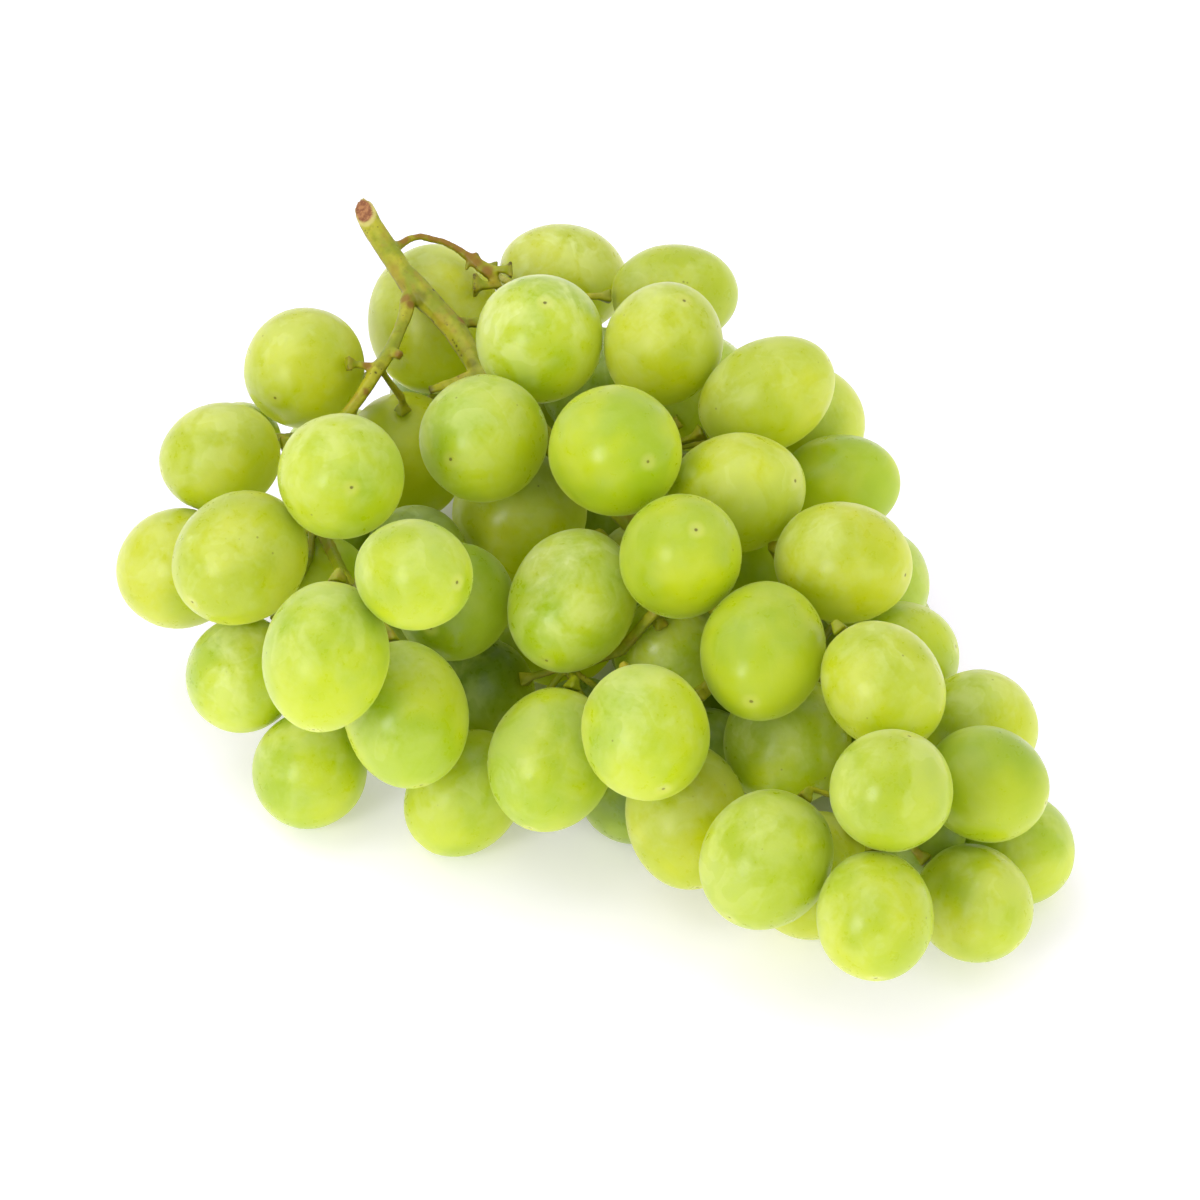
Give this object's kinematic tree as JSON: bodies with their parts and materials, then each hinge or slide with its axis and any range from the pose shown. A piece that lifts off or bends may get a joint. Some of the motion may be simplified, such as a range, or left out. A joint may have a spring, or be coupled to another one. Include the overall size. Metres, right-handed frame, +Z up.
{
  "type": "bunch of grapes",
  "caption": "Bunch of green table grapes lying on its side: oval berries packed round a branched woody stem with a slant-cut end.",
  "frame": {"origin": "on the surface that the bunch lies on, under the middle of its bounding box", "axes": "+X runs along the bunch from the cut stem end to the tail, +Z is up, -Y is the near side"},
  "size_m": [0.1982, 0.1504, 0.0759],
  "materials": {
    "skin": null,
    "skin_shaded": "the same berry skin, duller and greyer, on the inner and lower berries",
    "stem": "green half-woody stem with brown knots and tips"
  },
  "bodies": {
    "root": {"berries_far_foot": "skin_shaded", "berries_far_side": "skin_shaded", "berries_keel": "skin_shaded", "berries_middle": "skin_shaded", "berries_near_foot": "skin_shaded", "berries_near_middle": "skin_shaded", "berries_near_shoulder": "skin_shaded", "crest_berry_1": "skin", "far_crest_berry_1": "skin", "far_crest_berry_2": "skin", "far_crest_berry_3": "skin", "far_crest_berry_4": "skin", "far_edge_berry_1": "skin", "far_flank_berry_1": "skin", "far_flank_berry_2": "skin", "far_flank_berry_3": "skin", "far_flank_berry_4": "skin", "far_middle_berry_1": "skin", "far_middle_berry_2": "skin", "far_middle_berry_3": "skin", "far_shoulder_berry_1": "skin", "far_shoulder_berry_2": "skin", "near_crown_berry_1": "skin", "near_crown_berry_2": "skin", "near_crown_berry_3": "skin", "near_edge_berry_1": "skin", "near_edge_berry_2": "skin", "near_edge_berry_3": "skin", "near_edge_berry_4": "skin", "near_edge_berry_5": "skin", "near_flank_berry_1": "skin", "near_flank_berry_2": "skin", "near_flank_berry_3": "skin", "near_foot_berry_1": "skin", "near_middle_berry_1": "skin", "near_middle_berry_2": "skin", "near_middle_berry_3": "skin", "near_middle_berry_4": "skin", "near_middle_berry_6": "skin", "near_shoulder_berry_1": "skin", "near_shoulder_berry_2": "skin", "near_wing_berry_1": "skin", "near_wing_berry_2": "skin", "near_wing_berry_3": "skin", "rachis": "stem", "stem_end_berry_1": "skin", "stem_end_berry_2": "skin", "stem_end_berry_3": "skin", "tail_berry_1": "skin", "tail_berry_2": "skin", "tail_berry_3": "skin", "tail_berry_4": "skin", "tail_berry_5": "skin", "tail_berry_6": "skin", "tail_berry_7": "skin", "tail_top_berry_1": "skin", "tail_top_berry_2": "skin", "top_berry_1": "skin", "top_berry_2": "skin", "top_berry_3": "skin"}
  },
  "joints": []
}
